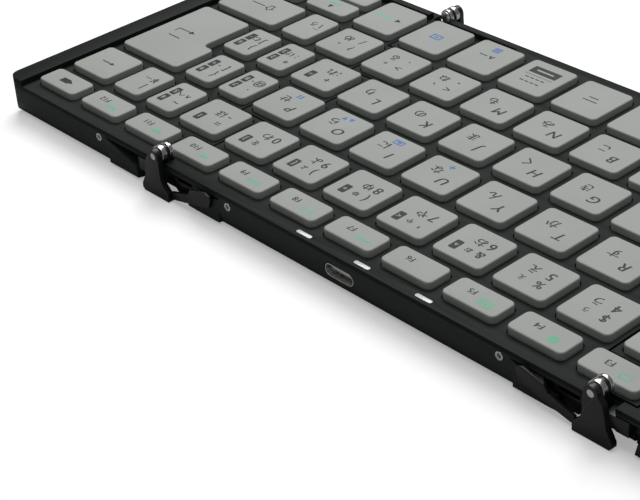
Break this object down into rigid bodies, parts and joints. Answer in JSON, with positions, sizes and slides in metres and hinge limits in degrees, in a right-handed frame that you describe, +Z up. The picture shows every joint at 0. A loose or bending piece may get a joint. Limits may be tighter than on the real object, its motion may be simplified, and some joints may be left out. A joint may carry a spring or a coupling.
{
  "type": "folding keyboard",
  "caption": "Slim portable keyboard in three hinged panels: both ends fold up and over the middle on raised black hinge legs, with sprung light grey keys in a dark case.",
  "frame": {"origin": "centre of the footprint, on the table plane", "axes": "+X to the typist's right along the long side, +Y away from the typist, +Z up"},
  "size_m": [0.2582, 0.1016, 0.0128],
  "materials": {
    "key_plastic": "satin moulded, warm light grey",
    "case_plastic": "fine matt moulded, greenish charcoal",
    "spring_steel": "plain rolled",
    "dome_rubber": "matt silicone",
    "board_laminate": "satin solder resist",
    "battery_foil": "satin foil pouch",
    "plated_steel": "bright nickel plating",
    "window_plastic": "gloss, slightly milky",
    "ribbon_film": "satin polyimide film",
    "hinge_zinc": "satin black paint on die-cast zinc",
    "foot_rubber": "matt rubber"
  },
  "bodies": {
    "middle_panel": {"middle_deck": "case_plastic", "middle_frame": "case_plastic", "middle_bottom": "case_plastic", "middle_key_plate": "spring_steel", "middle_domes": "dome_rubber", "main_board": "board_laminate", "battery": "battery_foil", "usb_socket": "plated_steel", "indicator_windows": "window_plastic", "ribbon_cables": "ribbon_film", "right_back_bracket": "hinge_zinc", "right_front_bracket": "hinge_zinc", "left_back_bracket": "hinge_zinc", "left_front_bracket": "hinge_zinc", "hinge_washers": "plated_steel", "middle_anchor_pins": "plated_steel", "middle_feet": "foot_rubber"},
    "right_panel": {"right_deck": "case_plastic", "right_frame": "case_plastic", "right_bottom": "case_plastic", "right_key_plate": "spring_steel", "right_domes": "dome_rubber", "right_back_leg": "hinge_zinc", "right_front_leg": "hinge_zinc", "right_hinge_pins": "plated_steel", "right_anchor_pins": "plated_steel", "right_feet": "foot_rubber"},
    "left_panel": {"left_deck": "case_plastic", "left_frame": "case_plastic", "left_bottom": "case_plastic", "left_key_plate": "spring_steel", "left_domes": "dome_rubber", "left_back_leg": "hinge_zinc", "left_front_leg": "hinge_zinc", "left_hinge_pins": "plated_steel", "left_anchor_pins": "plated_steel", "left_feet": "foot_rubber"},
    "left_function_keys": {"left_function_keys": "key_plastic"},
    "left_number_keys": {"left_number_keys": "key_plastic"},
    "left_upper_keys": {"left_upper_keys": "key_plastic"},
    "left_home_keys": {"left_home_keys": "key_plastic"},
    "left_lower_keys": {"left_lower_keys": "key_plastic"},
    "left_front_keys": {"left_front_keys": "key_plastic"},
    "middle_function_keys": {"middle_function_keys": "key_plastic"},
    "middle_number_keys": {"middle_number_keys": "key_plastic"},
    "middle_upper_keys": {"middle_upper_keys": "key_plastic"},
    "middle_home_keys": {"middle_home_keys": "key_plastic"},
    "middle_lower_keys": {"middle_lower_keys": "key_plastic"},
    "middle_front_keys": {"middle_front_keys": "key_plastic"},
    "space_bar": {"space_bar": "key_plastic"},
    "right_function_keys": {"right_function_keys": "key_plastic"},
    "right_number_keys": {"right_number_keys": "key_plastic"},
    "right_upper_keys": {"right_upper_keys": "key_plastic"},
    "right_home_keys": {"right_home_keys": "key_plastic"},
    "right_lower_keys": {"right_lower_keys": "key_plastic"},
    "arrow_keys": {"arrow_keys": "key_plastic"},
    "backspace_key": {"backspace_key": "key_plastic"},
    "enter_key": {"enter_key": "key_plastic"},
    "right_shift_key": {"right_shift_key": "key_plastic"}
  },
  "joints": [
    {"name": "right_fold", "type": "hinge", "parent": "middle_panel", "child": "right_panel", "pos_m": [0.0668, 0, 0.01085], "axis": [0, -1, 0], "range_deg": [0, 180]},
    {"name": "left_fold", "type": "hinge", "parent": "middle_panel", "child": "left_panel", "pos_m": [-0.0639, 0, 0.01085], "axis": [0, 1, 0], "range_deg": [0, 180]},
    {"name": "left_function_press", "type": "slide", "parent": "left_panel", "child": "left_function_keys", "axis": [0, 0, -1], "range_m": [0, 0.001], "stiffness_N_per_m": 1350, "springref_m": -0.0004},
    {"name": "left_number_press", "type": "slide", "parent": "left_panel", "child": "left_number_keys", "axis": [0, 0, -1], "range_m": [0, 0.001], "stiffness_N_per_m": 1800, "springref_m": -0.0004},
    {"name": "left_upper_press", "type": "slide", "parent": "left_panel", "child": "left_upper_keys", "axis": [0, 0, -1], "range_m": [0, 0.001], "stiffness_N_per_m": 1350, "springref_m": -0.0004},
    {"name": "left_home_press", "type": "slide", "parent": "left_panel", "child": "left_home_keys", "axis": [0, 0, -1], "range_m": [0, 0.001], "stiffness_N_per_m": 1350, "springref_m": -0.0004},
    {"name": "left_lower_press", "type": "slide", "parent": "left_panel", "child": "left_lower_keys", "axis": [0, 0, -1], "range_m": [0, 0.001], "stiffness_N_per_m": 900, "springref_m": -0.0004},
    {"name": "left_front_press", "type": "slide", "parent": "left_panel", "child": "left_front_keys", "axis": [0, 0, -1], "range_m": [0, 0.001], "stiffness_N_per_m": 1350, "springref_m": -0.0004},
    {"name": "middle_function_press", "type": "slide", "parent": "middle_panel", "child": "middle_function_keys", "axis": [0, 0, -1], "range_m": [0, 0.001], "stiffness_N_per_m": 3600, "springref_m": -0.0004},
    {"name": "middle_number_press", "type": "slide", "parent": "middle_panel", "child": "middle_number_keys", "axis": [0, 0, -1], "range_m": [0, 0.001], "stiffness_N_per_m": 3150, "springref_m": -0.0004},
    {"name": "middle_upper_press", "type": "slide", "parent": "middle_panel", "child": "middle_upper_keys", "axis": [0, 0, -1], "range_m": [0, 0.001], "stiffness_N_per_m": 3600, "springref_m": -0.0004},
    {"name": "middle_home_press", "type": "slide", "parent": "middle_panel", "child": "middle_home_keys", "axis": [0, 0, -1], "range_m": [0, 0.001], "stiffness_N_per_m": 3150, "springref_m": -0.0004},
    {"name": "middle_lower_press", "type": "slide", "parent": "middle_panel", "child": "middle_lower_keys", "axis": [0, 0, -1], "range_m": [0, 0.001], "stiffness_N_per_m": 3600, "springref_m": -0.0004},
    {"name": "middle_front_press", "type": "slide", "parent": "middle_panel", "child": "middle_front_keys", "axis": [0, 0, -1], "range_m": [0, 0.001], "stiffness_N_per_m": 2250, "springref_m": -0.0004},
    {"name": "space_bar_press", "type": "slide", "parent": "middle_panel", "child": "space_bar", "axis": [0, 0, -1], "range_m": [0, 0.001], "stiffness_N_per_m": 450, "springref_m": -0.0004},
    {"name": "right_function_press", "type": "slide", "parent": "right_panel", "child": "right_function_keys", "axis": [0, 0, -1], "range_m": [0, 0.001], "stiffness_N_per_m": 1350, "springref_m": -0.0004},
    {"name": "right_number_press", "type": "slide", "parent": "right_panel", "child": "right_number_keys", "axis": [0, 0, -1], "range_m": [0, 0.001], "stiffness_N_per_m": 1350, "springref_m": -0.0004},
    {"name": "right_upper_press", "type": "slide", "parent": "right_panel", "child": "right_upper_keys", "axis": [0, 0, -1], "range_m": [0, 0.001], "stiffness_N_per_m": 900, "springref_m": -0.0004},
    {"name": "right_home_press", "type": "slide", "parent": "right_panel", "child": "right_home_keys", "axis": [0, 0, -1], "range_m": [0, 0.001], "stiffness_N_per_m": 1350, "springref_m": -0.0004},
    {"name": "right_lower_press", "type": "slide", "parent": "right_panel", "child": "right_lower_keys", "axis": [0, 0, -1], "range_m": [0, 0.001], "stiffness_N_per_m": 900, "springref_m": -0.0004},
    {"name": "arrow_press", "type": "slide", "parent": "right_panel", "child": "arrow_keys", "axis": [0, 0, -1], "range_m": [0, 0.001], "stiffness_N_per_m": 1800, "springref_m": -0.0004},
    {"name": "backspace_press", "type": "slide", "parent": "right_panel", "child": "backspace_key", "axis": [0, 0, -1], "range_m": [0, 0.001], "stiffness_N_per_m": 450, "springref_m": -0.0004},
    {"name": "enter_press", "type": "slide", "parent": "right_panel", "child": "enter_key", "axis": [0, 0, -1], "range_m": [0, 0.001], "stiffness_N_per_m": 450, "springref_m": -0.0004},
    {"name": "right_shift_press", "type": "slide", "parent": "right_panel", "child": "right_shift_key", "axis": [0, 0, -1], "range_m": [0, 0.001], "stiffness_N_per_m": 450, "springref_m": -0.0004}
  ]
}
